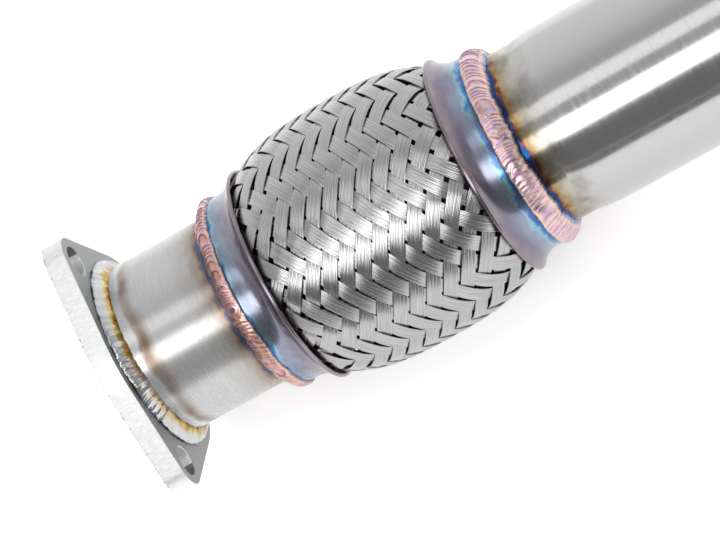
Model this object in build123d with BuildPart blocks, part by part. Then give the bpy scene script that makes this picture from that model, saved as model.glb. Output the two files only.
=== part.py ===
"""Exhaust centre pipe: flange, stub pipe, braided flex joint and rear pipe, welded into one piece.

Units are millimetres and +Z is up.  The pipe's axis is the X axis, with the gasket face of the flange
at x = 0.  The assembly lies on the barrel of its braid and on the lowest of its three flange ears.
"""
import math
import os

from build123d import *

os.makedirs("parts", exist_ok=True)

# Pipes
PIPE_R = 31.75            # 2.5 inch tube
PIPE_WALL = 1.5
STUB_RECESS = 2.0         # the stub stops short of the gasket face
SOCKET = 8.0              # length of pipe pushed into each end of the flex joint
NECK_LENGTH = 12.6        # formed neck of the rear pipe behind the flex joint
FLARE_LENGTH = 11.5
REAR_SWELL = 1.15         # rear pipe's skin behind its neck, over the neck's
REAR_LENGTH = 104.0       # from the flex joint to the open end, which balances the assembly

# Flange
FLANGE_T = 8.0
FLANGE_RIM = 8.0          # disc of the flange, out from the pipe's skin
BOLT_OFFSET = 13.25       # bolt circle, out from the pipe's skin
EAR_COUNT = 3
EAR_R = 9.2
BOLT_HOLE_R = 5.5
FLANGE_WELD_LEG = 4.6
FLANGE_WELD_CROWN = 0.6   # share of the leg at the crown of the fillet

# Flex joint
FRONT_CUFF = 52.5         # gasket face to the front end of the flex joint
FLEX_LENGTH = 106.4
LINER_WALL = 0.8
BELLOWS_WALL = 0.6
BRAID_CUFF_WALL = 1.15
COLLAR_WALL = 1.5
COLLAR_NECK = 5.4
MOUTH_R = 9.6             # bend of the bell mouth, on its outside
MOUTH_TURN = 60.0
FRONT_BEAD_TOE = 3.2      # front bead on the bare pipe, from the cuff's end
FRONT_BEAD_LAP = 2.0      # front bead over the collar
REAR_BEAD_TOE = 4.9
REAR_BEAD_LAP = 3.4
BEAD_CROWN = 0.3          # height of a bead over the collar
FOLD_COUNT = 10
FOLD_PITCH = 5.4
FOLD_STEP = 1.25          # root of the folds over the cuff
FOLD_GAP = 0.5            # crests of the outermost folds under the braid

# Braid: flat strips, over two and under two
BARREL_RISE = 11.8        # widest place of the barrel over its cuffs
BARREL_END_DEG = 39.0     # the braid's slope where it leaves a cuff
MOUTH_GAP = 0.2           # room along the axis between that slope and the collar's bell mouth
BARREL_BANDS = 9          # flat bands along half of the barrel
BRAID_WALL = 0.8
STRIPS = 24               # each way round
STRIP_DEG = 61.9          # between a strip and the axis, at the barrel's widest place
STRIP_W = 5.3
STRIP_RISE = 0.9          # top of a strip over the wall between the strips
FLOAT_CLEAR = 0.94        # end of a strip's top float, short of the strip that it dips under
FLOAT_DIP = 0.85          # drop of a float's ends, where it goes under
FLOAT_ROOT = 1.5          # depth that a float reaches into the wall
RIM_CLEAR = 2.6           # last row of floats, from the collar's lip

# Radii of the layers in the cuffs, and places along the axis
LINER_R = PIPE_R + LINER_WALL
BELLOWS_CUFF_R = LINER_R + BELLOWS_WALL
BRAID_CUFF_R = BELLOWS_CUFF_R + BRAID_CUFF_WALL
COLLAR_R = BRAID_CUFF_R + COLLAR_WALL
FOLD_ROOT_R = BELLOWS_CUFF_R + FOLD_STEP
BARREL_R = BRAID_CUFF_R + BARREL_RISE
REAR_R = PIPE_R + REAR_SWELL
MID_X = FRONT_CUFF + FLEX_LENGTH / 2
REAR_CUFF = FRONT_CUFF + FLEX_LENGTH
LIP_REACH = COLLAR_NECK + MOUTH_R * math.sin(math.radians(MOUTH_TURN))

# The braid leaves its cuff along a line that clears the bell mouth's inside arc, and the barrel's
# law, 1 - share ** power, has that slope at its ends
BARREL_END = math.radians(BARREL_END_DEG)
BARREL_START = COLLAR_NECK + (MOUTH_R + COLLAR_WALL) * math.tan(BARREL_END / 2) + MOUTH_GAP
BARREL_HALF = FLEX_LENGTH / 2 - BARREL_START
BARREL_POWER = math.tan(BARREL_END) * BARREL_HALF / BARREL_RISE

# A strip keeps its length from one crossing to the next all along the barrel
STRIP_STEP = math.pi * BARREL_R / (STRIPS * math.sin(math.radians(STRIP_DEG)))
FLOAT_REACH = STRIP_STEP - FLOAT_CLEAR

# The assembly lies on the barrel and on the lowest ear
BOLT_CIRCLE_R = PIPE_R + BOLT_OFFSET
FLOOR_Z = -BARREL_R
LOW_EAR_DEG = math.degrees(math.asin((FLOOR_Z + EAR_R) / BOLT_CIRCLE_R))

SIDE = Plane.XZ           # section plane: x along the pipe, y out from its axis
FACE = Plane.YZ           # gasket face


def from_rear(x):
    """Place along the axis that mirrors x to the other end of the flex joint."""
    return 2 * MID_X - x


def tube_section(start, end, outer_r, wall):
    """Sketch of a straight tube's wall, ready to revolve."""
    with BuildSketch(SIDE) as section:
        with Locations(((start + end) / 2, outer_r - wall / 2)):
            Rectangle(end - start, wall)
    return section.sketch


# Inlet flange: a disc and three ears with straight flanks, a bolt hole in each and a bore for the pipe
with BuildPart() as inlet_flange:
    with BuildSketch(FACE):
        Circle(PIPE_R + FLANGE_RIM)
        with PolarLocations(BOLT_CIRCLE_R, EAR_COUNT, LOW_EAR_DEG):
            Circle(EAR_R)
        make_hull()
        with PolarLocations(BOLT_CIRCLE_R, EAR_COUNT, LOW_EAR_DEG):
            Circle(BOLT_HOLE_R, mode=Mode.SUBTRACT)
        Circle(PIPE_R, mode=Mode.SUBTRACT)
    extrude(amount=FLANGE_T)
inlet_flange.part.label = "inlet_flange"
export_step(inlet_flange.part, "parts/inlet_flange.step")

# Inlet pipe: the stub between the flange and the flex joint
with BuildPart() as inlet_pipe:
    revolve(tube_section(STUB_RECESS, FRONT_CUFF + SOCKET, PIPE_R, PIPE_WALL), axis=Axis.X)
inlet_pipe.part.label = "inlet_pipe"
export_step(inlet_pipe.part, "parts/inlet_pipe.step")

# Flange weld: a convex fillet round the pipe on the back of the flange
with BuildPart() as flange_weld:
    with BuildSketch(SIDE):
        with BuildLine():
            toe = (FLANGE_T, PIPE_R + FLANGE_WELD_LEG)
            top = (FLANGE_T + FLANGE_WELD_LEG, PIPE_R)
            rise = FLANGE_WELD_CROWN * FLANGE_WELD_LEG
            ThreePointArc(toe, (FLANGE_T + rise, PIPE_R + rise), top)
            Polyline(top, (FLANGE_T, PIPE_R), toe)
        make_face()
    revolve(axis=Axis.X)
flange_weld.part.label = "flange_weld"
export_step(flange_weld.part, "parts/flange_weld.step")


def bead_section(cuff, toe, lap):
    """Sketch of a bead from the bare pipe at toe, past the end of the cuff, over the collar to lap."""
    with BuildSketch(SIDE) as section:
        with BuildLine():
            ThreePointArc((toe, PIPE_R), (cuff, COLLAR_R + BEAD_CROWN), (lap, COLLAR_R))
            Polyline((lap, COLLAR_R), (cuff, COLLAR_R), (cuff, PIPE_R), (toe, PIPE_R))
        make_face()
    return section.sketch


def collar_section(cuff, side):
    """Sketch of a collar's wall: neck, then the bell mouth as two arcs about one centre."""
    neck_end = cuff + side * COLLAR_NECK
    inner_r = COLLAR_R - COLLAR_WALL
    with BuildSketch(SIDE) as section:
        with BuildLine():
            Line((cuff, inner_r), (cuff, COLLAR_R))
            Line((cuff, COLLAR_R), (neck_end, COLLAR_R))
            outside = JernArc((neck_end, COLLAR_R), (side, 0), MOUTH_R, side * MOUTH_TURN)
            Line((cuff, inner_r), (neck_end, inner_r))
            inside = JernArc((neck_end, inner_r), (side, 0), MOUTH_R + COLLAR_WALL, side * MOUTH_TURN)
            Line(outside @ 1, inside @ 1)
        make_face()
    return section.sketch


# Front weld: the stub pipe to the front collar
with BuildPart() as front_weld:
    toe = FRONT_CUFF - FRONT_BEAD_TOE
    revolve(bead_section(FRONT_CUFF, toe, FRONT_CUFF + FRONT_BEAD_LAP), axis=Axis.X)
front_weld.part.label = "front_weld"
export_step(front_weld.part, "parts/front_weld.step")

# Front collar: neck and bell mouth round the end of the braid
with BuildPart() as front_collar:
    revolve(collar_section(FRONT_CUFF, 1), axis=Axis.X)
front_collar.part.label = "front_collar"
export_step(front_collar.part, "parts/front_collar.step")


def barrel_radius(x, crown_r):
    """Radius at x of a barrel that is crown_r at its middle and ends on the cuffs."""
    share = min(1.0, abs(x - MID_X) / BARREL_HALF)
    return BRAID_CUFF_R + (crown_r - BRAID_CUFF_R) * (1 - share ** BARREL_POWER)


def float_offsets():
    """Distances from the middle of the barrel to the rows of floats on one side of it.

    A row follows each quarter turn of the weave.
    """
    offsets = [0.0]
    offset, turned, step = 0.0, 0.0, 0.05
    while offset < FLEX_LENGTH / 2 - LIP_REACH - RIM_CLEAR:
        radius = barrel_radius(MID_X + offset, BARREL_R)
        turned += step * math.tan(strip_angle(radius)) / radius
        offset += step
        if turned >= math.pi / STRIPS:
            offsets.append(offset)
            turned = 0.0
    return offsets


def strip_angle(radius):
    """Angle between a strip and the axis where the barrel has this radius."""
    return math.asin(math.pi * radius / (STRIPS * STRIP_STEP))


def float_plane(x, lean, turn):
    """Section plane along the middle of a float: x follows the strip and y points out of the wall."""
    radius = barrel_radius(x, BARREL_R)
    reach = 0.5
    rise = barrel_radius(x + reach, BARREL_R) - barrel_radius(x - reach, BARREL_R)
    slope = math.atan(rise / (2 * reach))
    angle = lean * strip_angle(radius)
    outward = Vector(0, math.cos(turn), math.sin(turn))
    around = Vector(0, -math.sin(turn), math.cos(turn))
    along = Vector(math.cos(slope), 0, 0) + outward * math.sin(slope)
    strip = along * math.cos(angle) + around * math.sin(angle)
    normal = outward * math.cos(slope) - Vector(math.sin(slope), 0, 0)
    return Plane(origin=Vector(x, 0, 0) + outward * radius, x_dir=strip, z_dir=strip.cross(normal))


def float_ridge(plane):
    """One float: a flat strip's arched side view, pulled out to the strip's width."""
    with BuildPart() as ridge:
        with BuildSketch(plane):
            Polygon((-FLOAT_REACH, -FLOAT_ROOT), (FLOAT_REACH, -FLOAT_ROOT), (FLOAT_REACH, -FLOAT_DIP),
                    (FLOAT_REACH / 2, 0), (-FLOAT_REACH / 2, 0), (-FLOAT_REACH, -FLOAT_DIP), align=None)
        extrude(amount=STRIP_W / 2, both=True)
    return ridge.part


# Rows lean to the left and right in turn, half a strip pitch apart: a herringbone round the barrel
offsets = float_offsets()
rows = [-offset for offset in reversed(offsets[1:])] + offsets
floats = []
for row, offset in enumerate(rows):
    lean = 1 if row % 2 == 0 else -1
    turn = 0 if row % 2 == 0 else 2 * math.pi / STRIPS
    first = float_ridge(float_plane(MID_X + offset, lean, turn))
    floats += [first.rotate(Axis.X, copy * 720 / STRIPS) for copy in range(STRIPS // 2)]

# Braid sleeve: one wall that carries the floats of its weave as ridges
with BuildPart() as braid_sleeve:
    with BuildSketch(SIDE):
        with BuildLine():
            stations = [MID_X + BARREL_HALF * k / BARREL_BANDS for k in range(-BARREL_BANDS, BARREL_BANDS + 1)]
            outside = [(x, barrel_radius(x, BARREL_R - STRIP_RISE)) for x in stations]
            inside = [(x, max(BELLOWS_CUFF_R, r - BRAID_WALL)) for x, r in outside]
            Polyline((FRONT_CUFF, BELLOWS_CUFF_R), (FRONT_CUFF, BRAID_CUFF_R), *outside,
                     (REAR_CUFF, BRAID_CUFF_R), (REAR_CUFF, BELLOWS_CUFF_R), *reversed(inside), close=True)
        make_face()
    revolve(axis=Axis.X)
    add(floats)
braid_sleeve.part.label = "braid_sleeve"
export_step(braid_sleeve.part, "parts/braid_sleeve.step")

# Bellows: gas-tight folds between two cuffs, under the braid
with BuildPart() as bellows:
    with BuildSketch(SIDE):
        with BuildLine():
            first = MID_X - FOLD_COUNT * FOLD_PITCH / 2
            last = from_rear(first)
            crest_r = barrel_radius(first + FOLD_PITCH / 2, BARREL_R - STRIP_RISE) - BRAID_WALL - FOLD_GAP
            skin = [(FRONT_CUFF, BELLOWS_CUFF_R), (first - FOLD_PITCH, BELLOWS_CUFF_R)]
            for fold in range(FOLD_COUNT):
                root = first + fold * FOLD_PITCH
                skin += [(root, FOLD_ROOT_R), (root + FOLD_PITCH / 2, crest_r)]
            skin += [(last, FOLD_ROOT_R), (last + FOLD_PITCH, BELLOWS_CUFF_R), (REAR_CUFF, BELLOWS_CUFF_R)]
            Polyline(*skin, *[(x, r - BELLOWS_WALL) for x, r in reversed(skin)], close=True)
        make_face()
    revolve(axis=Axis.X)
bellows.part.label = "bellows"
export_step(bellows.part, "parts/bellows.step")

# Inner liner: the hose that guides the gas past the folds
with BuildPart() as inner_liner:
    revolve(tube_section(FRONT_CUFF, REAR_CUFF, LINER_R, LINER_WALL), axis=Axis.X)
inner_liner.part.label = "inner_liner"
export_step(inner_liner.part, "parts/inner_liner.step")

# Rear collar: the front collar turned round
with BuildPart() as rear_collar:
    revolve(collar_section(REAR_CUFF, -1), axis=Axis.X)
rear_collar.part.label = "rear_collar"
export_step(rear_collar.part, "parts/rear_collar.step")

# Rear weld: the rear collar to the centre pipe
with BuildPart() as rear_weld:
    toe = REAR_CUFF + REAR_BEAD_TOE
    revolve(bead_section(REAR_CUFF, toe, REAR_CUFF - REAR_BEAD_LAP), axis=Axis.X)
rear_weld.part.label = "rear_weld"
export_step(rear_weld.part, "parts/rear_weld.step")


def rear_skin(inset):
    """Line along the rear pipe's skin: neck, crease, flare that levels out, and straight run."""
    neck_end = REAR_CUFF + NECK_LENGTH
    flare_end = neck_end + FLARE_LENGTH
    start = Line((REAR_CUFF - SOCKET, PIPE_R - inset), (neck_end, PIPE_R - inset))
    TangentArc((flare_end, REAR_R - inset), (neck_end, PIPE_R - inset), tangent=(-1, 0))
    run = Line((flare_end, REAR_R - inset), (REAR_CUFF + REAR_LENGTH, REAR_R - inset))
    return start @ 0, run @ 1


# Centre pipe: formed neck in the cuff, short flare, then a straight run to a square open end
with BuildPart() as centre_pipe:
    with BuildSketch(SIDE):
        with BuildLine():
            outer_start, outer_end = rear_skin(0)
            inner_start, inner_end = rear_skin(PIPE_WALL)
            Line(outer_start, inner_start)
            Line(outer_end, inner_end)
        make_face()
    revolve(axis=Axis.X)
centre_pipe.part.label = "centre_pipe"
export_step(centre_pipe.part, "parts/centre_pipe.step")
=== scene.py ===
"""Looks of the braided exhaust centre pipe: welds, heat tint, brushed tube, woven sleeve and stage.

Lengths are millimetres here, and MM turns them to the metres that Blender holds.  The pipe's axis is
the X axis, with the gasket face of the flange at x = 0.  An angle round the pipe starts at +Y and turns
towards +Z.
"""

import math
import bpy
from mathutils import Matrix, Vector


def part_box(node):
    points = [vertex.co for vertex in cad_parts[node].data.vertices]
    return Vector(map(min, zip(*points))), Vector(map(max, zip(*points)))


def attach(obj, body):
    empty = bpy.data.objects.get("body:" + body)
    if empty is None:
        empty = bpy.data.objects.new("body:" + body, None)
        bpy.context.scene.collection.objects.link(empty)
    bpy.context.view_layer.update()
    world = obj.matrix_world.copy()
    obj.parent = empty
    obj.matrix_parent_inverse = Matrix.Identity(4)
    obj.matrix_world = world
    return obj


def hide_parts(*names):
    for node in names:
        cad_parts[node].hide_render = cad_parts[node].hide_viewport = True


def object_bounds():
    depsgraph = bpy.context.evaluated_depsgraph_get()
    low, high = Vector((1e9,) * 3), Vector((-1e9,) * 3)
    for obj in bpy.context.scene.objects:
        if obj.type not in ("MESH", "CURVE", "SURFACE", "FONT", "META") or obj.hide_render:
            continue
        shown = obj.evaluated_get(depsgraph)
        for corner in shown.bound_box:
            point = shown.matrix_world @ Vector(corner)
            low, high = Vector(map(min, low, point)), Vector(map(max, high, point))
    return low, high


bl_info = {
    "name": "Exhaust centre pipe",
    "version": (1, 0, 0),
    "blender": (4, 5, 0),
    "location": "View3D > Sidebar > Exhaust",
    "description": "Dresses a braided exhaust centre pipe with its welds, heat tint and woven sleeve",
    "category": "Add Mesh",
}

import bpy
import numpy as np
from bpy.props import FloatProperty, FloatVectorProperty, IntProperty, PointerProperty
from mathutils import Matrix, Vector

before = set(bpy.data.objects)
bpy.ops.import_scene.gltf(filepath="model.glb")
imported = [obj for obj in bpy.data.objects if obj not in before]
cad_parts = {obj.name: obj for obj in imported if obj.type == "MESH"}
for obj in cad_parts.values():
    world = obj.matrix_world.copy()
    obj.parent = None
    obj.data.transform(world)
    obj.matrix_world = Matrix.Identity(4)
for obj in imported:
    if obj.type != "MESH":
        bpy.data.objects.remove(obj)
cad_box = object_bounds()

MM = 0.001


def span(name):
    """Start, end and outer radius of a CAD node along the pipe's axis, in millimetres."""
    low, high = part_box(name)
    return low.x / MM, high.x / MM, (high.z - low.z) / 2 / MM


STUB_START, STUB_END, PIPE_R = span("inlet_pipe")
FLANGE_T = span("inlet_flange")[1]
FILLET_END, FILLET_R = span("flange_weld")[1:]
FRONT_TOE, FRONT_LAP = span("front_weld")[:2]
REAR_LAP, REAR_TOE = span("rear_weld")[:2]
FRONT_CUFF = span("front_collar")[0]
REAR_CUFF = span("rear_collar")[1]
PIPE_END, REAR_R = span("centre_pipe")[1:]
BARREL_R = span("braid_sleeve")[2]
MID_STUB = (FILLET_END + FRONT_TOE) / 2
MID_X = (FRONT_CUFF + REAR_CUFF) / 2
FLOOR_Z = cad_box[0].z / MM


def to_linear(text):
    """Linear RGBA of an sRGB hex colour."""
    parts = [int(text[k:k + 2], 16) / 255 for k in (1, 3, 5)]
    return [c / 12.92 if c <= 0.04045 else ((c + 0.055) / 1.055) ** 2.4 for c in parts] + [1.0]


class FlangeSettings(bpy.types.PropertyGroup):
    """Sizes of the flange plate"""
    body_r: FloatProperty(name="Disc radius", description="Radius of the plate between its ears",
                          default=39.75 * MM, unit="LENGTH")
    bolt_circle_r: FloatProperty(name="Bolt circle", description="Radius of the bolt circle",
                                 default=45 * MM, unit="LENGTH")
    ears: IntProperty(name="Ears", description="Number of bolt ears", default=3)
    ear_r: FloatProperty(name="Ear radius", description="Radius of an ear about its hole",
                         default=9.2 * MM, unit="LENGTH")
    hole_r: FloatProperty(name="Hole radius", description="Radius of a bolt hole",
                          default=5.5 * MM, unit="LENGTH")
    edge_r: FloatProperty(name="Edge radius", description="Rounding of the plate's edges",
                          default=0.25 * MM, unit="LENGTH")


class PipeSettings(bpy.types.PropertyGroup):
    """Sizes of the stub pipe and the rear pipe"""
    wall: FloatProperty(name="Wall", description="Wall of both pipes", default=1.5 * MM, unit="LENGTH")
    deburr: FloatProperty(name="Deburr", description="Bevel of the pipes' ends",
                          default=0.3 * MM, unit="LENGTH")
    socket: FloatProperty(name="Socket", description="Depth of the rear pipe inside its collar",
                          default=8 * MM, unit="LENGTH")
    neck: FloatProperty(name="Neck", description="Length of the rear pipe's neck, from the collar's end",
                        default=12.6 * MM, unit="LENGTH")
    flare: FloatProperty(name="Flare", description="Length over which the neck swells to the rear pipe",
                         default=11.5 * MM, unit="LENGTH")


class CollarSettings(bpy.types.PropertyGroup):
    """Sizes of the two bell-mouthed collars"""
    under: FloatProperty(name="Under", description="Liner, bellows and braid between pipe and collar",
                         default=2.55 * MM, unit="LENGTH")
    wall: FloatProperty(name="Wall", description="Wall of a collar", default=1.5 * MM, unit="LENGTH")
    neck: FloatProperty(name="Neck", description="Length of the straight neck at the weld",
                        default=5.4 * MM, unit="LENGTH")
    mouth_r: FloatProperty(name="Bell radius", description="Radius of the bell's curve, outside",
                           default=9.6 * MM, unit="LENGTH")
    mouth: FloatProperty(name="Bell angle", description="Angle that the bell's curve turns through",
                         default=math.radians(60), subtype="ANGLE")
    lip_trim: FloatProperty(name="Lip trim", description="How much of the rounded lip is ground back",
                            default=0.55 * MM, unit="LENGTH")


class WeldSettings(bpy.types.PropertyGroup):
    """Sizes of the beads and of the flange's fillet"""
    pitch: FloatProperty(name="Puddle pitch", description="Distance between the puddles of a bead",
                         default=2.3 * MM, unit="LENGTH")
    ripple: FloatProperty(name="Ripple height", description="Step from one puddle of a bead to the next",
                          default=0.3 * MM, unit="LENGTH")
    crown: FloatProperty(name="Crown", description="How far the middle of a weld stands out",
                         default=0.5 * MM, unit="LENGTH")
    fillet_pitch: FloatProperty(name="Fillet pitch", description="Distance between the fillet's puddles",
                                default=1.1 * MM, unit="LENGTH")
    fillet_ripple: FloatProperty(name="Fillet ripple", description="Step between the fillet's puddles",
                                 default=0.12 * MM, unit="LENGTH")
    toe_run: FloatProperty(name="Toe run", description="How far the front bead ran out onto the stub",
                           default=0.8 * MM, unit="LENGTH")
    lap_run: FloatProperty(name="Lap run", description="How far the front bead ran out onto its collar",
                           default=0.9 * MM, unit="LENGTH")


class BraidSettings(bpy.types.PropertyGroup):
    """Sizes of the woven sleeve and colours of its wire"""
    strips: IntProperty(name="Strips", description="Strips each way round", default=24)
    wires: IntProperty(name="Wires", description="Wires in a strip", default=10)
    strip_w: FloatProperty(name="Strip width", description="Width of a strip",
                           default=4.9 * MM, unit="LENGTH")
    strip_t: FloatProperty(name="Strip thickness", description="Thickness of a strip",
                           default=0.45 * MM, unit="LENGTH")
    lift: FloatProperty(name="Weave height", description="Rise and fall of a strip about its middle",
                        default=0.55 * MM, unit="LENGTH")
    groove: FloatProperty(name="Groove", description="Depth of the groove between two wires",
                          default=0.05 * MM, unit="LENGTH")
    slant: FloatProperty(name="Strip angle", description="Angle to the axis at the widest place",
                         default=math.radians(61.9), subtype="ANGLE")
    cuff_r: FloatProperty(name="Cuff radius", description="Radius of the braid in its collars",
                          default=34.3 * MM, unit="LENGTH")
    start: FloatProperty(name="Barrel start", description="From the cuff's end to the start of the swell",
                         default=8.8 * MM, unit="LENGTH")
    end_slope: FloatProperty(name="End slope", description="Slope of the barrel at its ends",
                             default=math.radians(39), subtype="ANGLE")
    wire_dark: FloatVectorProperty(name="Darker wire", description="Colour of the wires' dull lines",
                                   default=to_linear("#9a9a9a"), size=4, subtype="COLOR")
    wire_bright: FloatVectorProperty(name="Brighter wire", description="Colour of the wires' bright lines",
                                     default=to_linear("#bebebe"), size=4, subtype="COLOR")


class StageSettings(bpy.types.PropertyGroup):
    """Camera, lights and paper"""
    azimuth: FloatProperty(name="Azimuth", description="Camera's bearing; 0 looks along +Y",
                           default=math.radians(21.68), subtype="ANGLE")
    elevation: FloatProperty(name="Elevation", description="Camera's height over the horizon",
                             default=math.radians(52.27), subtype="ANGLE")
    roll: FloatProperty(name="Roll", description="Camera's lean to the right",
                        default=math.radians(46.53), subtype="ANGLE")
    distance: FloatProperty(name="Distance", description="From the camera to its aim",
                            default=1096.3 * MM, unit="LENGTH")
    lens: FloatProperty(name="Lens", description="Focal length", default=160, unit="CAMERA")
    aim: FloatVectorProperty(name="Aim", description="Point at the middle of the view",
                             default=(90.13 * MM, -9.95 * MM, -2.70 * MM), subtype="TRANSLATION")
    key_power: FloatProperty(name="Key light", description="Power of the strip box on the camera's side",
                             default=60, unit="POWER")
    top_power: FloatProperty(name="Top light", description="Power of the strip box overhead",
                             default=13, unit="POWER")
    paper: FloatVectorProperty(name="Paper", description="Colour of the sheet under the part",
                               default=to_linear("#f4f4f4"), size=4, subtype="COLOR")


SETTINGS = [
    ("Flange", "exhaust_flange", FlangeSettings),
    ("Pipes", "exhaust_pipe", PipeSettings),
    ("Collars", "exhaust_collar", CollarSettings),
    ("Welds", "exhaust_weld", WeldSettings),
    ("Braid", "exhaust_braid", BraidSettings),
    ("Stage", "exhaust_stage", StageSettings),
]


def setting_names(group):
    """Names of a settings group's own properties."""
    return [key for key in group.bl_rna.properties.keys() if key not in ("name", "rna_type")]


class Sizes:
    """A settings group as plain values: lengths in millimetres, angles in radians, colours linear."""

    def __init__(self, group):
        for key in setting_names(group):
            value = getattr(group, key)
            kind = group.bl_rna.properties[key]
            if kind.unit == "LENGTH":
                value = [part / MM for part in value] if kind.is_array else value / MM
            setattr(self, key, value)


def add_node(tree, kind, links=None, stops=None, **settings):
    """Adds a node.  links gives its inputs sockets or plain values; stops fill a colour ramp in order."""
    made = tree.nodes.new(kind)
    for key, value in settings.items():
        setattr(made, key, value)
    for key, value in (links or {}).items():
        if isinstance(value, bpy.types.NodeSocket):
            tree.links.new(value, made.inputs[key])
        else:
            made.inputs[key].default_value = value
    if stops:
        points = made.color_ramp.elements
        points[0].position, points[-1].position = stops[0][0], stops[-1][0]
        for place, _ in stops[1:-1]:
            points.new(place)
        for point, (_, colour) in zip(points, stops):
            point.color = to_linear(colour) if isinstance(colour, str) else colour
    return made


def start_material(name):
    """A new material with a metal shader, and its node tree."""
    material = bpy.data.materials.new(name)
    material.use_nodes = True
    tree = material.node_tree
    shader = tree.nodes["Principled BSDF"]
    shader.inputs["Metallic"].default_value = 1.0
    return material, tree, shader


def place_on_pipe(tree):
    """Object position in millimetres: the vector, and its coordinate along the pipe."""
    metres = add_node(tree, "ShaderNodeTexCoord").outputs["Object"]
    where = add_node(
        tree, "ShaderNodeVectorMath", {0: metres, 1: (1 / MM,) * 3}, operation="MULTIPLY").outputs[0]
    along = add_node(tree, "ShaderNodeSeparateXYZ", {0: where}).outputs["X"]
    return where, along


def noise(tree, where, grain, detail=2.0):
    """Noise about 0.5 as a socket; its grain along x, y and z is in the units of where."""
    stretched = add_node(
        tree, "ShaderNodeVectorMath", {0: where, 1: [1 / size for size in grain]}, operation="MULTIPLY")
    return add_node(
        tree, "ShaderNodeTexNoise", {"Vector": stretched.outputs[0], "Scale": 1.0, "Detail": detail},
    ).outputs["Fac"]


def patches(tree, where, grain, low, high, stretch=(0.3, 0.7), detail=2.0):
    """Noise whose stretch of usual values is spread over low to high, and that is flat beyond them."""
    return add_node(tree, "ShaderNodeMapRange", {
        "Value": noise(tree, where, grain, detail),
        "From Min": stretch[0], "From Max": stretch[1], "To Min": low, "To Max": high,
    }).outputs[0]


def unsteady(tree, where, along, grain, reach):
    """The coordinate along the pipe pushed to and fro by up to reach mm, for the uneven edge of a band."""
    push = patches(tree, where, grain, -reach, reach, detail=4)
    return add_node(tree, "ShaderNodeMath", {0: along, 1: push}, operation="ADD").outputs[0]


def tint(tree, along, edge, side, colours):
    """Temper colours by their distance in mm from a weld's edge; side is 1 where they run towards +X."""
    reach = colours[-1][0]
    share = add_node(tree, "ShaderNodeMapRange", {
        "Value": along, "From Min": edge, "From Max": edge + side * reach}).outputs[0]
    stops = [(distance / reach, colour) for distance, colour in colours]
    return add_node(tree, "ShaderNodeValToRGB", {"Fac": share}, stops=stops).outputs["Color"]


def lay_over(tree, colour, *coats):
    """A colour under coats, each with its share; a colour is a socket or an sRGB hex."""
    for share, coat in coats:
        under, over = (to_linear(c) if isinstance(c, str) else c for c in (colour, coat))
        colour = add_node(tree, "ShaderNodeMix", {0: share, 6: under, 7: over}, data_type="RGBA").outputs[2]
    return colour


def finish(tree, shader, colour, height, rough, strength, depth):
    """Links the colour, a roughness between two values and a relief; the last two follow one height."""
    relief = add_node(tree, "ShaderNodeBump", {
        "Height": height, "Strength": strength, "Distance": depth * MM})
    dulled = add_node(tree, "ShaderNodeMapRange", {
        "Value": height, "From Min": 0.3, "From Max": 0.7, "To Min": rough[0], "To Max": rough[1]})
    tree.links.new(colour, shader.inputs["Base Color"])
    tree.links.new(dulled.outputs[0], shader.inputs["Roughness"])
    tree.links.new(relief.outputs[0], shader.inputs["Normal"])


def brush(tree, shader, amount, **lines):
    """Brushed or drawn lines along a tangent: lights stretch across them, a quarter turn from it."""
    tangent = add_node(tree, "ShaderNodeTangent", **lines)
    shader.inputs["Anisotropic"].default_value = amount
    shader.inputs["Anisotropic Rotation"].default_value = 0.25
    tree.links.new(tangent.outputs[0], shader.inputs["Tangent"])


def grained_metal(name, grain, detail, dark, light, rough, strength, depth):
    """A metal whose colour, roughness and relief all follow one grain, given in mm along x, y and z."""
    material, tree, shader = start_material(name)
    where, _ = place_on_pipe(tree)
    marks = noise(tree, where, grain, detail)
    colour = add_node(tree, "ShaderNodeValToRGB", {"Fac": marks}, stops=[(0.0, dark), (1.0, light)])
    finish(tree, shader, colour.outputs["Color"], marks, rough, strength, depth)
    return material


def brushed_tube():
    """Brushed 304 tube, its lines round the pipe, with the haze that both welds left.

    The grit's lines are about 0.1 mm apart; they are drawn 0.4 mm apart, as fine as they can show.
    """
    material, tree, shader = start_material("brushed_304_tube")
    where, along = place_on_pipe(tree)
    lines = noise(tree, where, (0.4, 7, 7), 2)
    by_flange = tint(tree, unsteady(tree, where, along, (9, 12, 12), 1.2), FILLET_END, 1, [
        (0.0, "#ccd0d5"), (2.6, "#cfd2d5"), (3.6, "#9c8a7c"), (4.6, "#7a6350"), (5.8, "#84705f"),
        (7.2, "#aaa29a"), (9.0, "#c2c2c2"), (20.0, "#c2c2c2"),
    ])
    by_bead = tint(tree, unsteady(tree, where, along, (3, 4, 4), 1.1), FRONT_TOE - 0.2, -1, [
        (0.0, "#2a5a8c"), (0.9, "#263f6e"), (1.3, "#5c4a58"), (2.0, "#8c6c50"), (3.2, "#9c8e80"),
        (7.0, "#b2b0ac"), (14.0, "#c2c2c2"),
    ])
    worn = patches(tree, where, (30, 16, 16), 0.0, 0.6, (0.42, 0.64))
    beyond = add_node(tree, "ShaderNodeMapRange", {
        "Value": along, "From Min": MID_STUB - 4, "From Max": MID_STUB + 4}).outputs[0]
    grit = add_node(tree, "ShaderNodeMapRange", {
        "Value": lines, "From Min": 0.3, "From Max": 0.7, "To Max": 0.3}).outputs[0]
    colour = lay_over(tree, by_flange, (worn, "#c2c2c2"), (beyond, by_bead), (grit, "#9c9c9c"))
    finish(tree, shader, colour, lines, (0.22, 0.32), 0.06, 0.05)
    brush(tree, shader, 0.55, direction_type="RADIAL", axis="X")
    shader.inputs["Metallic"].default_value = 0.7
    return material


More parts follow.
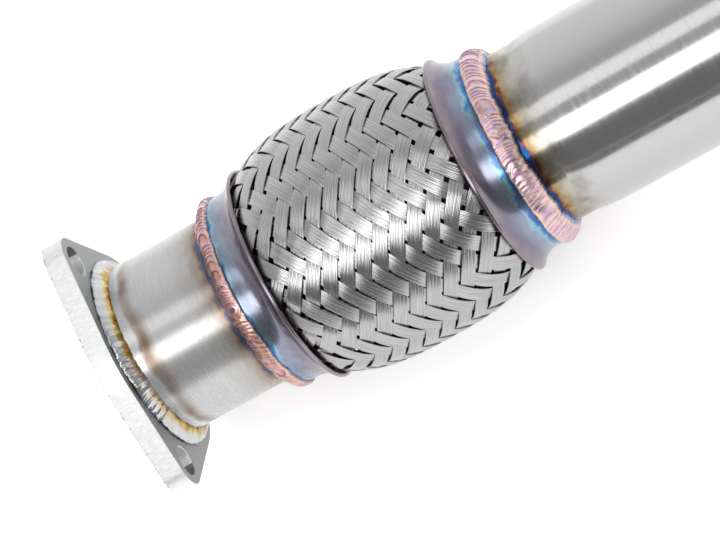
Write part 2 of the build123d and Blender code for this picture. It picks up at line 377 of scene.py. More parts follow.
def polished_tube():
    """Polished 304 tube: satin, with reflections that the last belt frayed, tinted beside its weld.

    The belt's lines are finer than a picture shows; they are drawn 0.6 mm apart.
    """
    material, tree, shader = start_material("polished_304_tube")
    where, along = place_on_pipe(tree)
    lines = noise(tree, where, (0.6, 12, 12), 3)
    uneven = unsteady(tree, where, along, (2.5, 3.5, 3.5), 1.2)
    edge = REAR_TOE - 0.8
    clean = tint(tree, uneven, edge, 1, [
        (0.0, "#1d6a9e"), (0.9, "#1c4480"), (1.4, "#4c3c58"), (1.9, "#7c4c34"), (2.7, "#a07c48"),
        (4.4, "#a39a80"), (8.0, "#b3b0a8"), (16.0, "#bcbcbc"),
    ])
    smoked = tint(tree, uneven, edge, 1, [
        (0.0, "#12304e"), (1.2, "#1b3c74"), (1.8, "#3c3448"), (2.4, "#5e4034"), (3.4, "#806a4c"),
        (6.0, "#8c8476"), (10.0, "#989692"), (16.0, "#bcbcbc"),
    ])
    smoke = patches(tree, where, (8, 9, 9), 0, 1, (0.38, 0.62))
    finish(tree, shader, lay_over(tree, clean, (smoke, smoked)), lines, (0.13, 0.24), 0.2, 0.05)
    brush(tree, shader, 0.6, direction_type="RADIAL", axis="X")
    return material


def tinted_collar(name, edge, side, colours):
    """Pressed stainless collar in the colours that the weld's heat left, with faint rings from the die.

    The rings are finer than a picture shows; they are drawn 0.4 mm apart.
    """
    material, tree, shader = start_material(name)
    where, along = place_on_pipe(tree)
    rings = noise(tree, where, (0.4, 20, 20))
    clean = tint(tree, unsteady(tree, where, along, (3, 5, 5), 1.2), edge, side, colours)
    cloud = patches(tree, where, (6, 10, 10), 0.0, 0.7, detail=4)
    finish(tree, shader, lay_over(tree, clean, (cloud, "#77778a")), rings, (0.15, 0.27), 0.35, 0.05)
    return material


def tig_bead(name, puddle, other, edge):
    """TIG bead: puddles lapped like scales, dark in their creases, oxide blue along the bead's edges.

    The map's first coordinate counts puddles and its second runs across the bead.
    """
    material, tree, shader = start_material(name)
    where, _ = place_on_pipe(tree)
    lay = add_node(tree, "ShaderNodeUVMap", uv_map="puddles").outputs[0]
    parts = add_node(tree, "ShaderNodeSeparateXYZ", {0: lay}).outputs
    share = add_node(tree, "ShaderNodeMath", {0: parts["X"]}, operation="FRACT").outputs[0]
    scale = add_node(tree, "ShaderNodeValToRGB", {"Fac": share}, stops=puddle).outputs["Color"]
    second = add_node(tree, "ShaderNodeValToRGB", {"Fac": share}, stops=other).outputs["Color"]
    patch = patches(tree, where, (2.0, 2.0, 2.0), 0, 1, (0.42, 0.58), 4)
    rim = add_node(tree, "ShaderNodeValToRGB", {"Fac": parts["Y"]}, stops=[
        (0.0, "#ffffff"), (0.12, "#000000"), (0.88, "#000000"), (1.0, "#ffffff"),
    ]).outputs["Color"]
    pale_line = add_node(tree, "ShaderNodeValToRGB", {"Fac": parts["Y"]}, stops=[
        (0.08, "#000000"), (0.15, "#c0c0c0"), (0.24, "#000000"), (0.76, "#000000"), (0.85, "#c0c0c0"),
        (0.92, "#000000"),
    ]).outputs["Color"]
    grain = noise(tree, lay, (0.16, 1.5, 1), 3)
    colour = lay_over(tree, scale, (patch, second), (pale_line, "#ecd2b0"), (rim, edge))
    finish(tree, shader, colour, grain, (0.18, 0.36), 0.6, 0.15)
    return material


def silver_fillet():
    """TIG fillet on clean steel: bright silver ripples, straw in patches and gold beside the pipe."""
    material, tree, shader = start_material("tig_fillet_silver")
    where, along = place_on_pipe(tree)
    grain = noise(tree, where, (0.6, 0.6, 0.6), 3)
    gold = tint(tree, unsteady(tree, where, along, (2, 3, 3), 0.7), FLANGE_T, 1, [
        (0.0, "#9a9ea4"), (1.2, "#c6cacf"), (2.9, "#c9c8c2"), (3.6, "#c4b078"), (4.1, "#b08a3c"),
        (4.6, "#6a5230"),
    ])
    clean = patches(tree, where, (40, 22, 22), 0, 0.7, (0.48, 0.66))
    straw = patches(tree, where, (30, 9, 9), 0, 0.6, (0.5, 0.62))
    silver = lay_over(tree, "#c6cbd2", (straw, "#b09a62"))
    finish(tree, shader, lay_over(tree, gold, (clean, silver)), grain, (0.12, 0.22), 0.15, 0.1)
    return material


def hot_rolled_plate():
    """Hot-rolled stainless plate, as delivered: matt, with a fine even grain of half a millimetre."""
    return grained_metal(
        "hot_rolled_plate", (0.5, 0.5, 0.5), 4, "#8f9091", "#b4b5b6", (0.42, 0.58), 0.3, 0.1)


def laser_cut_edge():
    """Laser-cut edge of the plate: bright, with the fine ribs that the beam leaves across it.

    Specks of dross, about a millimetre long, cling to the edge where the beam came out.
    """
    material, tree, shader = start_material("laser_cut_edge")
    where, along = place_on_pipe(tree)
    ribs = noise(tree, where, (2.5, 0.35, 0.35), 3)
    colour = add_node(tree, "ShaderNodeValToRGB", {"Fac": ribs}, stops=[(0.3, "#d8d9da"), (0.7, "#f4f4f4")])
    dross = patches(tree, where, (0.8, 1.2, 1.2), 1, 0, (0.36, 0.42), 4)
    last_mm = add_node(tree, "ShaderNodeMapRange", {"Value": along, "To Min": 1.0, "To Max": 0.0}).outputs[0]
    specks = add_node(tree, "ShaderNodeMath", {0: dross, 1: last_mm}, operation="MULTIPLY").outputs[0]
    speckled = lay_over(tree, colour.outputs["Color"], (specks, "#3a3a3c"))
    finish(tree, shader, speckled, ribs, (0.36, 0.5), 0.3, 0.15)
    shader.inputs["Metallic"].default_value = 0.7
    return material


def burnt_bore():
    """Laser-cut wall of a hole in darker greys than the outer cut edge, as painted shade inside the holes;
    its ribs are half a millimetre apart.
    """
    return grained_metal("burnt_bore", (4.0, 0.5, 0.5), 3, "#5e5e60", "#9c9c9e", (0.45, 0.6), 0.5, 0.15)


def drawn_wire(dark, bright):
    """Drawn stainless wire laid flat in bundles: fine lines along the strip, so lights spread across it.

    The die's lines are finer than a picture shows; they are drawn 0.3 mm apart.
    """
    material, tree, shader = start_material("drawn_braid_wire")
    lay = add_node(tree, "ShaderNodeUVMap", uv_map="strip").outputs[0]
    streaks = noise(tree, lay, (16, 0.3, 1))
    colour = add_node(tree, "ShaderNodeValToRGB", {"Fac": streaks}, stops=[(0.3, dark), (0.7, bright)])
    finish(tree, shader, colour.outputs["Color"], streaks, (0.18, 0.28), 0.06, 0.05)
    brush(tree, shader, 0.5, direction_type="UV_MAP", uv_map="strip")
    return material


def shade_dark_bellows():
    """Hydroformed bellows skin in near-black greys: painted shade for what shows through the weave's holes.
    """
    return grained_metal("annealed_bellows", (1.5, 6, 6), 2, "#28282a", "#4c4c4e", (0.45, 0.55), 0.1, 0.05)


def add_mesh(name, points, faces, material, sharp_deg=35.0):
    """A smooth-shaded piece from points in millimetres, with edges over sharp_deg kept sharp."""
    mesh = bpy.data.meshes.new(name)
    mesh.from_pydata((np.asarray(points, float) * MM).tolist(), [], [list(map(int, f)) for f in faces])
    mesh.shade_smooth()
    mesh.set_sharp_from_angle(angle=math.radians(sharp_deg))
    mesh.materials.append(material)
    piece = bpy.data.objects.new(name, mesh)
    bpy.context.scene.collection.objects.link(piece)
    return piece


def seat(piece, node):
    """The piece rides on the part and stands in for a CAD node, which is hidden."""
    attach(piece, "root")
    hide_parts(node)


def grid_faces(rows, columns, close_rows, close_columns):
    """Quads of a grid of points, row by row, closed on itself where asked."""
    r = np.arange(rows if close_rows else rows - 1)
    c = np.arange(columns if close_columns else columns - 1)
    r, c = (a.ravel() for a in np.meshgrid(r, c, indexing="ij"))
    after_r, after_c = (r + 1) % rows, (c + 1) % columns
    corners = [r * columns + c, r * columns + after_c, after_r * columns + after_c, after_r * columns + c]
    return np.stack(corners, 1)


def revolve(name, profile, material, sharp_deg=35.0, steps=360):
    """A closed profile of (x, radius) points turned round the pipe's axis."""
    x, radius = np.array(profile, float).T
    turn = np.linspace(0, 2 * math.pi, steps, endpoint=False)[:, None]
    points = np.stack([x + 0 * turn, radius * np.cos(turn), radius * np.sin(turn)], -1).reshape(-1, 3)
    return add_mesh(name, points, grid_faces(steps, len(x), True, True), material, sharp_deg)


def arc(centre, radius, start_deg, end_deg, steps):
    """Points of an arc in a plane, its angle measured from the plane's first axis to its second."""
    angles = np.radians(np.linspace(start_deg, end_deg, steps))
    return [(centre[0] + radius * math.cos(a), centre[1] + radius * math.sin(a)) for a in angles]


def wander(turn, waves, seed):
    """A smooth random curve round the pipe, from -1 to 1, with up to the given number of waves."""
    random = np.random.default_rng(seed)
    total = np.zeros_like(turn)
    for wave in range(1, waves + 1):
        total += np.cos(wave * turn + random.uniform(0, 2 * math.pi)) * random.uniform(0.3, 1)
    return total / np.abs(total).max()


def flange_outline(sizes):
    """Points of the flange's outline in the plane of its face, and the lowest ear's angle.

    Each ear's arc ends where a straight flank leaves it for the disc, at the same slope on both.
    """
    flank = math.degrees(math.acos((sizes.body_r - sizes.ear_r) / sizes.bolt_circle_r))
    half = arc((sizes.bolt_circle_r, 0), sizes.ear_r, 0, flank, 24)
    half += arc((0, 0), sizes.body_r, flank, 180 / sizes.ears, 10)
    sector = [(x, -y) for x, y in reversed(half[1:])] + half[:-1]
    low_ear = math.asin((FLOOR_Z + sizes.ear_r) / sizes.bolt_circle_r)
    points = []
    for copy in range(sizes.ears):
        turn = Matrix.Rotation(low_ear + copy * 2 * math.pi / sizes.ears, 2)
        points += [turn @ Vector(p) for p in sector]
    return points, low_ear


def add_loop(curve, points):
    """A closed run of straight edges in a curve."""
    spline = curve.splines.new("POLY")
    spline.points.add(len(points) - 1)
    for point, place in zip(spline.points, points):
        point.co = (place[0] * MM, place[1] * MM, 0, 1)
    spline.use_cyclic_u = True


class EXHAUST_OT_flange(bpy.types.Operator):
    """Add the three-ear flange: matt faces, rounded edges and laser-cut walls"""
    bl_idname = "exhaust.flange"
    bl_label = "Flange"

    def execute(self, context):
        sizes = Sizes(context.scene.exhaust_flange)
        outline, low_ear = flange_outline(sizes)
        curve = bpy.data.curves.new("inlet_flange_plate", "CURVE")
        curve.dimensions = "2D"
        curve.fill_mode = "BOTH"
        curve.extrude = (FLANGE_T / 2 - sizes.edge_r) * MM
        curve.bevel_depth = sizes.edge_r * MM
        curve.offset = -sizes.edge_r * MM
        curve.bevel_resolution = 2
        add_loop(curve, outline)
        add_loop(curve, arc((0, 0), PIPE_R, 0, 360, 145)[:-1])
        for copy in range(sizes.ears):
            turn = low_ear + copy * 2 * math.pi / sizes.ears
            hole = (sizes.bolt_circle_r * math.cos(turn), sizes.bolt_circle_r * math.sin(turn))
            add_loop(curve, arc(hole, sizes.hole_r, 0, 360, 49)[:-1])
        shape = bpy.data.objects.new("flange_shape", curve)
        mesh = bpy.data.meshes.new_from_object(shape)
        bpy.data.objects.remove(shape)
        # The curve's plane becomes the plane of the gasket face, and its depth runs along the pipe
        mesh.transform(Matrix(((0, 0, 1, FLANGE_T / 2 * MM), (1, 0, 0, 0), (0, 1, 0, 0), (0, 0, 0, 1))))
        self.paint(mesh)
        mesh.shade_smooth()
        mesh.set_sharp_from_angle(angle=math.radians(50))
        piece = bpy.data.objects.new("inlet_flange_plate", mesh)
        context.scene.collection.objects.link(piece)
        seat(piece, "inlet_flange")
        return {"FINISHED"}

    def paint(self, mesh):
        """Rolled faces, bright walls, and darker walls where a wall faces the pipe's axis: painted shade
        inside the holes.
        """
        mesh.materials.clear()
        for material in (hot_rolled_plate(), laser_cut_edge(), burnt_bore()):
            mesh.materials.append(material)
        for face in mesh.polygons:
            flat = abs(face.normal.x) > 0.9
            faces_axis = face.normal.y * face.center.y + face.normal.z * face.center.z < 0
            # Walls facing the axis lie inside the holes and take the darker wall, as painted shade
            face.material_index = 0 if flat else 2 if faces_axis else 1


def stub_profile(sizes):
    """Section of the stub pipe, both ends deburred."""
    rings = np.linspace(STUB_START + sizes.deburr, STUB_END - sizes.deburr, 60)
    end_r = PIPE_R - sizes.deburr
    skin = [(STUB_START, end_r)] + [(x, PIPE_R) for x in rings] + [(STUB_END, end_r)]
    return skin + [(x, r - sizes.wall + 2 * (PIPE_R - r)) for x, r in reversed(skin)]


def rear_profile(sizes):
    """Section of the rear pipe: socket, neck, a flare that ends level, and a deburred end."""
    neck_end = REAR_CUFF + sizes.neck
    flare_end = neck_end + sizes.flare
    rise = REAR_R - PIPE_R
    flare_r = (sizes.flare ** 2 + rise ** 2) / (2 * rise)
    neck_start = REAR_CUFF - sizes.socket
    skin = [(neck_start, PIPE_R)] + [(x, PIPE_R) for x in np.linspace(neck_start + 4, neck_end - 1, 14)]
    skin += [(x, REAR_R - flare_r + math.sqrt(flare_r ** 2 - (flare_end - x) ** 2))
             for x in np.linspace(neck_end, flare_end, 16)]
    skin += [(x, REAR_R) for x in np.linspace(flare_end + 2, PIPE_END - sizes.deburr, 40)]
    bore = [(x, r - sizes.wall) for x, r in reversed(skin)]
    return skin + [(PIPE_END, REAR_R - sizes.deburr), (PIPE_END, REAR_R - sizes.wall + sizes.deburr)] + bore


class EXHAUST_OT_pipes(bpy.types.Operator):
    """Add the brushed stub pipe and the polished rear pipe"""
    bl_idname = "exhaust.pipes"
    bl_label = "Pipes"

    def execute(self, context):
        sizes = Sizes(context.scene.exhaust_pipe)
        stub = revolve("inlet_stub", stub_profile(sizes), brushed_tube())
        seat(stub, "inlet_pipe")
        # The flare starts with a crease of about 11 degrees, which stays sharp
        rear = revolve("rear_pipe", rear_profile(sizes), polished_tube(), 8)
        seat(rear, "centre_pipe")
        return {"FINISHED"}


def collar_profile(sizes, cuff, side):
    """Section of a collar: neck, bell mouth and a lip rounded off by half the wall."""
    neck_r = PIPE_R + sizes.under + sizes.wall
    mouth_deg = math.degrees(sizes.mouth)
    centre = (sizes.neck, neck_r + sizes.mouth_r)
    outside = [(0, neck_r)] + arc(centre, sizes.mouth_r, -90, mouth_deg - 90, 22)
    inside = arc(centre, sizes.mouth_r + sizes.wall, mouth_deg - 90, -90, 22) + [(0, neck_r - sizes.wall)]
    lip = arc(centre, sizes.mouth_r + sizes.wall / 2, mouth_deg - 90, mouth_deg - 90, 1)[0]
    rim = arc(lip, sizes.wall / 2, mouth_deg + 90, mouth_deg - 90, 9)[1:-1]
    back = (sizes.lip_trim * math.cos(sizes.mouth), sizes.lip_trim * math.sin(sizes.mouth))
    trimmed = [(x - back[0], r - back[1]) for x, r in rim]
    return [(cuff + side * x, r) for x, r in outside[:-1] + trimmed + inside[1:]]


class EXHAUST_OT_collars(bpy.types.Operator):
    """Add the two bell-mouthed collars in the colours of the welds' heat"""
    bl_idname = "exhaust.collars"
    bl_label = "Collars"

    def execute(self, context):
        sizes = Sizes(context.scene.exhaust_collar)
        front_steel = tinted_collar("pressed_collar_front", FRONT_LAP, 1, [
            (0.0, "#20548e"), (0.6, "#3f7fb0"), (1.4, "#9ab6c4"), (2.4, "#8c9eb2"), (4.6, "#9a9eac"),
            (8.0, "#84808a"), (11.5, "#9a8c8c"),
        ])
        rear_steel = tinted_collar("pressed_collar_rear", REAR_LAP, -1, [
            (0.0, "#1c5c9e"), (1.0, "#3a8cc0"), (2.0, "#9cbcc8"), (3.0, "#8ea2b4"), (5.0, "#9498aa"),
            (7.5, "#827a88"), (10.5, "#9a8888"),
        ])
        front = revolve("front_bell_collar", collar_profile(sizes, FRONT_CUFF, 1), front_steel, 60)
        seat(front, "front_collar")
        rear = revolve("rear_bell_collar", collar_profile(sizes, REAR_CUFF, -1)[::-1], rear_steel, 60)
        seat(rear, "rear_collar")
        return {"FINISHED"}


BULGE = 0.9            # puddles by which a puddle's front is ahead in the middle of its bead
DRIFT = 1.8            # puddles by which the welder's rhythm drifts
EDGE_WANDER = 0.4      # mm by which an edge strays, once in long waves and once in short ones
UNEVEN = 0.2           # share of its height by which a crown rises and falls
SUNK = 0.4             # mm by which a bead's edges are sunk in what it joins


def bead(name, material, toe, lap, crown_r, pitch, height, seed, steps=960, across=18):
    """A weld bead round the pipe: a hump from toe to lap, stepped into puddles.

    toe and lap are the (x, radius) of its edges and crown_r is the radius between them.  The front of
    each puddle bulges in the direction of travel, and both edges wander.  The map "puddles" counts the
    puddles round the pipe and runs across the bead.
    """
    turn = np.linspace(0, 2 * math.pi, steps + 1)[:, None]
    u = np.linspace(0, 1, across)[None, :]
    side = math.copysign(1, lap[0] - toe[0])
    count = round(2 * math.pi * crown_r / pitch)
    hump = 4 * u * (1 - u)
    phase = turn * count / (2 * math.pi) + BULGE * hump + DRIFT * wander(turn, 24, seed)
    edge = EDGE_WANDER * (wander(turn, 90, seed + 1) + wander(turn, 20, seed + 2))
    x = toe[0] + (lap[0] - toe[0]) * u + edge * side * (1 - 0.5 * u)
    base = toe[1] + (lap[1] - toe[1]) * u
    lift = (crown_r - (toe[1] + lap[1]) / 2) * hump ** 0.8 * (1 + UNEVEN * wander(turn, 24, seed + 3))
    ripple = height * hump ** 0.5 * ((phase % 1) ** 1.5 - 0.5)
    radius = np.where((u == 0) | (u == 1), base - SUNK, base + lift + ripple)
    points = np.stack(np.broadcast_arrays(x, radius * np.cos(turn), radius * np.sin(turn)), -1)
    faces = grid_faces(steps, across, True, True)
    piece = add_mesh(name, points[:-1].reshape(-1, 3), faces, material, 70)
    # A face of the last step takes its far corners from the end of the count and not from its start
    rows = faces // across
    rows[:, 2:] = rows[:, :1] + 1
    columns = faces % across
    lay = np.stack([phase[rows, columns], np.broadcast_to(u, phase.shape)[rows, columns]], -1)
    piece.data.uv_layers.new(name="puddles").data.foreach_set("uv", lay.ravel())
    return piece


class EXHAUST_OT_welds(bpy.types.Operator):
    """Add the flange's fillet and the two beads at the collars"""
    bl_idname = "exhaust.welds"
    bl_label = "Welds"

    def execute(self, context):
        sizes = Sizes(context.scene.exhaust_weld)
        collar = Sizes(context.scene.exhaust_collar)
        collar_r = PIPE_R + collar.under + collar.wall
        copper = tig_bead("tig_bead_copper", [
            (0.0, "#8a5a4e"), (0.08, "#c48a74"), (0.5, "#dca892"), (0.9, "#d8a89e"), (1.0, "#94685c"),
        ], [
            (0.0, "#645c74"), (0.08, "#a07e98"), (0.5, "#b898b0"), (0.9, "#ceaaaa"), (1.0, "#846674"),
        ], "#4a6c9c")
        rose = tig_bead("tig_bead_rose", [
            (0.0, "#ac8486"), (0.08, "#d6aca8"), (0.5, "#e8ccc0"), (0.9, "#deb2b8"), (1.0, "#b48e92"),
        ], [
            (0.0, "#8c8098"), (0.08, "#ac92b0"), (0.5, "#d8c0ca"), (0.9, "#be9aba"), (1.0, "#9886a4"),
        ], "#3f78ac")
        front = bead(
            "front_weld_bead", copper, (FRONT_TOE - sizes.toe_run, PIPE_R),
            (FRONT_LAP + sizes.lap_run, collar_r), collar_r + sizes.crown, sizes.pitch, sizes.ripple, 11)
        seat(front, "front_weld")
        rear = bead(
            "rear_weld_bead", rose, (REAR_TOE, PIPE_R), (REAR_LAP, collar_r),
            collar_r + sizes.crown, sizes.pitch, sizes.ripple, 23)
        seat(rear, "rear_weld")
        # A full fillet: a flat one would pass half a leg from the pipe
        fillet_r = PIPE_R + 0.6 * (FILLET_END - FLANGE_T) + sizes.crown
        fillet = bead(
            "flange_fillet_weld", silver_fillet(), (FLANGE_T, FILLET_R), (FILLET_END, PIPE_R),
            fillet_r, sizes.fillet_pitch, sizes.fillet_ripple, 37, 1440, 14)
        seat(fillet, "flange_weld")
        return {"FINISHED"}


STEPS_TO_CROSSING = 7    # points of a strip from one crossing to the next
CUT_SHORT = 0.6          # crossings by which a strip ends before the end of its cuff
FLAT_TOP = 1.3           # how flat a strip runs over and under the others; 0 is a plain wave
CUFF_REACH = 6           # mm of the cuffs, beyond the swell, that the lattice covers
WIRE_SHAKE = 0.02        # mm by which single wires lie higher or lower than their bundle
MAP_GAP = 30             # mm between two strips on the map, so that no two share their lines


class Weave:
    """The barrel's form and the lattice of its strips.

    A place on the barrel has two strip numbers, one for each way round.  Strips of a family have whole
    numbers, so two whole numbers are a crossing.
    """

    def __init__(self, sizes):
        self.sizes = sizes
        self.half = MID_X - FRONT_CUFF - sizes.start
        self.rise = BARREL_R - sizes.cuff_r
        self.power = math.tan(sizes.end_slope) * self.half / self.rise
        self.step = math.pi * BARREL_R / (sizes.strips * math.sin(sizes.slant))
        self.pitch_deg = 360 / sizes.strips
        offsets = np.linspace(0, self.half + CUFF_REACH, 2000)
        radius = self.radius(offsets)
        slant = self.slant(radius)
        turned = np.concatenate([[0], np.cumsum((np.tan(slant) / radius)[1:] * np.diff(offsets))])
        self.turned_deg = np.degrees(np.concatenate([-turned[:0:-1], turned]))
        self.offsets = np.concatenate([-offsets[:0:-1], offsets])

    def radius(self, offset):
        """Radius over the strips' tops, at a distance from the barrel's middle."""
        share = np.minimum(1, np.abs(offset) / self.half)
        return self.sizes.cuff_r + self.rise * (1 - share ** self.power)

    def slant(self, radius):
        """Angle between a strip and the axis: a strip keeps its length from crossing to crossing."""
        return np.arcsin(math.pi * radius / (self.sizes.strips * self.step))

    def place(self, right, left, height):
        """Point on the barrel by its two strip numbers, and its height over the tops."""
        turned = self.pitch_deg / 2 * (left - right - 0.5)
        turn = np.radians(self.pitch_deg / 2 * (left + right - 0.5))
        offset = np.interp(turned, self.turned_deg, self.offsets)
        slope = np.arctan((self.radius(offset + 0.2) - self.radius(offset - 0.2)) / 0.4)
        out = self.radius(offset) + height * np.cos(slope)
        return np.stack([MID_X + offset - height * np.sin(slope), out * np.cos(turn), out * np.sin(turn)], -1)

    def width(self, number, other, way):
        """Half a strip's width along its middle line, in strip numbers."""
        turned = self.pitch_deg / 2 * (way * (other - number) - 0.5)
        radius = self.radius(np.interp(turned, self.turned_deg, self.offsets))
        return self.sizes.strip_w / 2 / (math.radians(self.pitch_deg) * radius * np.cos(self.slant(radius)))

    def family(self, way):
        """Points, map, rows, columns and valley columns of all the strips that lean one way."""
        s = self.sizes
        random = np.random.default_rng(5 + way)
        reach = self.turned_deg.max() / (self.pitch_deg / 2) - CUT_SHORT
        first = -math.floor(reach * STEPS_TO_CROSSING) / STEPS_TO_CROSSING
        along = np.arange(first, reach, 1 / STEPS_TO_CROSSING) + 0.5
        # A row has the tops of the wires with a valley between each two, then the two lower corners
        ribs = np.linspace(-1, 1, 2 * s.wires + 1)
        across = np.concatenate([ribs, [1.0, -1.0]])
        top = np.concatenate([np.ones(len(ribs)), [0, 0]])
        valley = np.concatenate([np.arange(len(ribs)) % 2 == 0, [True, True]])
        wire = np.arange(len(across)) // 2
        points, maps = [], []
        for strip in range(s.strips):
            number = np.full_like(along, strip)
            other = strip + way * along
            # Over two and under two, and every other strip starts two crossings later
            phase = way * (other - number) - (0.5 if way > 0 else 1.5) - 2 * (strip % 2)
            swing = np.tanh(FLAT_TOP * np.cos(math.pi / 2 * phase)) / math.tanh(FLAT_TOP)
            shake = np.sin(along[:, None] * 1.1 + 2.4 * wire + strip) * random.uniform(0.2, 1, len(across))
            height = s.lift * (swing[:, None] - 1) + s.strip_t * (top - 1)
            height = height + top * (WIRE_SHAKE * shake - s.groove * valley)
            own = number[:, None] + across * self.width(number, other, way)[:, None]
            crossed = np.broadcast_to(other[:, None], own.shape)
            right, left = (own, crossed) if way > 0 else (crossed, own)
            points.append(self.place(right, left, height).reshape(-1, 3))
            lay = np.broadcast_arrays(along[:, None] * self.step, across * s.strip_w / 2 + MAP_GAP * strip)
            maps.append(np.stack(lay, -1).reshape(-1, 2))
        return np.concatenate(points), np.concatenate(maps), len(along), len(across), valley


def add_strips(name, weave, way, material):
    """All the strips that lean one way, as one piece of closed flat bundles of wire."""
    points, lay, rows, columns, valley = weave.family(way)
    quads = grid_faces(rows, columns, False, True)
    if way > 0:
        quads = quads[:, ::-1]
    starts = range(0, len(points), rows * columns)
    faces = [list(map(int, f)) for start in starts for f in quads + start]
    for start in starts:
        first = [start + c for c in range(columns)]
        last = [c + (rows - 1) * columns for c in first]
        faces += [first, last[::-1]] if way > 0 else [first[::-1], last]
    piece = add_mesh(name, points, faces, material, 60)
    mesh = piece.data
    # The edges along a valley are sharp, so that each wire shades as a round of its own
    column = np.arange(len(mesh.vertices)) % columns
    ends = np.zeros(len(mesh.edges) * 2, int)
    mesh.edges.foreach_get("vertices", ends)
    ends = ends.reshape(-1, 2)
    between_wires = (column[ends[:, 0]] == column[ends[:, 1]]) & valley[column[ends[:, 0]]]
    sharp = mesh.attributes.get("sharp_edge") or mesh.attributes.new("sharp_edge", "BOOLEAN", "EDGE")
    sharp.data.foreach_set("value", between_wires)
    corner = np.zeros(len(mesh.loops), int)
    mesh.loops.foreach_get("vertex_index", corner)
    mesh.uv_layers.new(name="strip").data.foreach_set("uv", lay[corner].ravel())
    mesh.update()
    return piece


class EXHAUST_OT_braid(bpy.types.Operator):
    """Weave the sleeve from flat bundles of wire, over two and under two"""
    bl_idname = "exhaust.braid"
    bl_label = "Braid"

    def execute(self, context):
        sizes = Sizes(context.scene.exhaust_braid)
        weave = Weave(sizes)
        wire = drawn_wire(sizes.wire_dark, sizes.wire_bright)
        for name, way in (("braid_right_lay", 1), ("braid_left_lay", -1)):
            seat(add_strips(name, weave, way, wire), "braid_sleeve")
        return {"FINISHED"}


class EXHAUST_OT_inside(bpy.types.Operator):
    """Finish the bellows and the liner, which stay as modelled, in near-black greys as painted shade under
    the braid
    """
    bl_idname = "exhaust.inside"
    bl_label = "Inside"

    def execute(self, context):
        # Near-black greys: painted shade for the inside under the braid
        skin = shade_dark_bellows()
        for name in ("bellows", "inner_liner"):
            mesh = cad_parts[name].data
            mesh.materials.clear()
            mesh.materials.append(skin)
        return {"FINISHED"}


LIGHT_REACH = 3000       # mm from the middle of the pipe to a soft box
LIGHT_ASIDE_DEG = 5      # how far both boxes stand from square across the pipe, towards the flange
PAPER_REACH = 6000       # mm from the middle of the paper to its edges
CARD_NEAR, CARD_FAR, CARD_REACH = 330, 3000, 3000


def area_light(name, climb_deg, size, power):
    """A soft box out of the camera's sight that faces the middle of the pipe.

    climb_deg is its angle round the pipe over the front horizon, and size its length along the pipe and
    its height, in millimetres.
    """
    lamp = bpy.data.lights.new(name, "AREA")
    lamp.shape = "RECTANGLE"
    lamp.size, lamp.size_y = (side * MM for side in size)
    lamp.energy = power
    box = bpy.data.objects.new(name, lamp)
    bpy.context.scene.collection.objects.link(box)
    climb, aside = math.radians(climb_deg), math.radians(LIGHT_ASIDE_DEG)
    way = Vector((-math.sin(aside), -math.cos(aside) * math.cos(climb), math.cos(aside) * math.sin(climb)))
    box.location = (Vector((MID_X, 0, 0)) + way * LIGHT_REACH) * MM
    across = way.cross(Vector((1, 0, 0))).normalized()
    box.rotation_euler = Matrix((across.cross(way), across, way)).transposed().to_euler()
    box.visible_camera = False


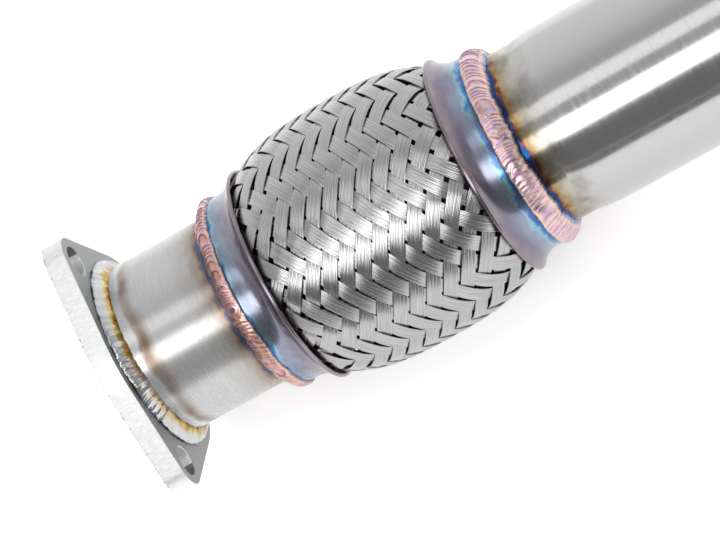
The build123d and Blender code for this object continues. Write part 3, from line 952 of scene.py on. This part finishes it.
class EXHAUST_OT_stage(bpy.types.Operator):
    """Add the white paper, the studio's walls, the soft boxes, the grey card and the camera"""
    bl_idname = "exhaust.stage"
    bl_label = "Stage"

    def execute(self, context):
        settings = Sizes(context.scene.exhaust_stage)
        context.scene.view_settings.view_transform = "Standard"
        self.add_paper(settings.paper)
        self.add_card()
        self.add_walls(context.scene)
        area_light("key_strip_box", 46.5, (6400, 1100), settings.key_power)
        area_light("overhead_strip_box", 81.5, (5000, 900), settings.top_power)
        self.add_camera(context.scene, settings)
        return {"FINISHED"}

    def add_paper(self, colour):
        """White paper under the part, lit a little from below so that shadows on it stay pale."""
        material = bpy.data.materials.new("white_paper")
        material.use_nodes = True
        shader = material.node_tree.nodes["Principled BSDF"]
        shader.inputs["Base Color"].default_value = colour
        shader.inputs["Roughness"].default_value = 0.9
        shader.inputs["Emission Color"].default_value = to_linear("#ffffff")
        shader.inputs["Emission Strength"].default_value = 0.38
        corners = [(-1, -1), (1, -1), (1, 1), (-1, 1)]
        points = [(x * PAPER_REACH, y * PAPER_REACH, FLOOR_Z) for x, y in corners]
        add_mesh("paper_floor", points, [(0, 1, 2, 3)], material)

    def add_card(self):
        """A grey card beside the pipe, seen only in reflections, which edges bright metal."""
        material = bpy.data.materials.new("grey_card")
        material.use_nodes = True
        shader = material.node_tree.nodes["Principled BSDF"]
        shader.inputs["Base Color"].default_value = to_linear("#747474")
        shader.inputs["Roughness"].default_value = 1.0
        corners = [(-CARD_REACH, -CARD_NEAR), (CARD_REACH, -CARD_NEAR), (CARD_REACH, -CARD_FAR),
                   (-CARD_REACH, -CARD_FAR)]
        points = [(x, y, FLOOR_Z + 1) for x, y in corners]
        card = add_mesh("grey_card", points, [(0, 3, 2, 1)], material)
        card.visible_camera = False
        card.visible_diffuse = False
        card.visible_shadow = False

    def add_walls(self, scene):
        """The studio's walls: dim low down on the camera's side and brightest across from it.

        The camera sees a white wall instead.
        """
        world = bpy.data.worlds.new("studio_walls")
        world.use_nodes = True
        tree = world.node_tree
        tree.nodes.clear()
        way = add_node(tree, "ShaderNodeTexCoord").outputs["Generated"]
        parts = add_node(tree, "ShaderNodeSeparateXYZ", {0: way}).outputs
        front = add_node(tree, "ShaderNodeMath", {0: parts["Y"], 1: -1.0}, operation="MULTIPLY").outputs[0]
        climb = add_node(tree, "ShaderNodeMath", {0: parts["Z"], 1: front}, operation="ARCTAN2").outputs[0]
        height = add_node(tree, "ShaderNodeMath", {0: climb}, operation="ABSOLUTE").outputs[0]
        share = add_node(tree, "ShaderNodeMath", {0: height, 1: math.pi}, operation="DIVIDE").outputs[0]
        walls = add_node(tree, "ShaderNodeValToRGB", {"Fac": share}, stops=[
            (0.0, "#7b7b7b"), (0.17, "#7b7b7b"), (0.21, "#c0c0c0"), (0.36, "#b4b4b4"), (0.50, "#bababa"),
            (0.58, "#c0c0c0"), (0.66, "#dadada"), (0.78, "#ececec"), (1.0, "#f4f4f4"),
        ]).outputs["Color"]
        fill = add_node(tree, "ShaderNodeBackground", {"Color": walls, "Strength": 1.2})
        wall = add_node(tree, "ShaderNodeBackground", {"Color": to_linear("#ffffff"), "Strength": 1.0})
        seen = add_node(tree, "ShaderNodeLightPath").outputs["Is Camera Ray"]
        mixed = add_node(tree, "ShaderNodeMixShader", {0: seen, 1: fill.outputs[0], 2: wall.outputs[0]})
        add_node(tree, "ShaderNodeOutputWorld", {"Surface": mixed.outputs[0]})
        scene.world = world

    def add_camera(self, scene, settings):
        """A long lens from the photographed side, leaning to the right."""
        camera = bpy.data.objects.new("camera", bpy.data.cameras.new("camera"))
        scene.collection.objects.link(camera)
        cos_up, sin_up = math.cos(settings.elevation), math.sin(settings.elevation)
        right = Vector((math.cos(settings.azimuth), math.sin(settings.azimuth), 0))
        back = Vector((right.y * cos_up, -right.x * cos_up, sin_up))
        up = back.cross(right)
        rolled_up = up * math.cos(settings.roll) + right * math.sin(settings.roll)
        rolled_right = rolled_up.cross(back)
        camera.matrix_world = Matrix.LocRotScale(
            (Vector(settings.aim) + back * settings.distance) * MM,
            Matrix((rolled_right, rolled_up, back)).transposed(), None)
        camera.data.lens = settings.lens
        camera.data.clip_start = 50 * MM
        camera.data.clip_end = 30000 * MM
        scene.camera = camera


class EXHAUST_PT_panel(bpy.types.Panel):
    """Sizes and steps of the exhaust centre pipe"""
    bl_label = "Exhaust centre pipe"
    bl_space_type = "VIEW_3D"
    bl_region_type = "UI"
    bl_category = "Exhaust"

    def draw(self, context):
        for title, name, _ in SETTINGS:
            box = self.layout.box()
            box.label(text=title)
            group = getattr(context.scene, name)
            for key in setting_names(group):
                box.prop(group, key)
        for step in STEPS:
            self.layout.operator(step.bl_idname)


STEPS = [EXHAUST_OT_stage, EXHAUST_OT_flange, EXHAUST_OT_pipes, EXHAUST_OT_collars, EXHAUST_OT_welds,
         EXHAUST_OT_braid, EXHAUST_OT_inside]


def register():
    for title, name, group in SETTINGS:
        bpy.utils.register_class(group)
        setattr(bpy.types.Scene, name, PointerProperty(name=title, type=group))
    for step in STEPS + [EXHAUST_PT_panel]:
        bpy.utils.register_class(step)


def unregister():
    for step in reversed(STEPS + [EXHAUST_PT_panel]):
        bpy.utils.unregister_class(step)
    for _, name, group in SETTINGS:
        delattr(bpy.types.Scene, name)
        bpy.utils.unregister_class(group)


def main():
    register()
    bpy.ops.exhaust.stage()
    bpy.ops.exhaust.flange()
    bpy.ops.exhaust.pipes()
    bpy.ops.exhaust.collars()
    bpy.ops.exhaust.welds()
    bpy.ops.exhaust.braid()
    bpy.ops.exhaust.inside()


if __name__ == "__main__":
    main()
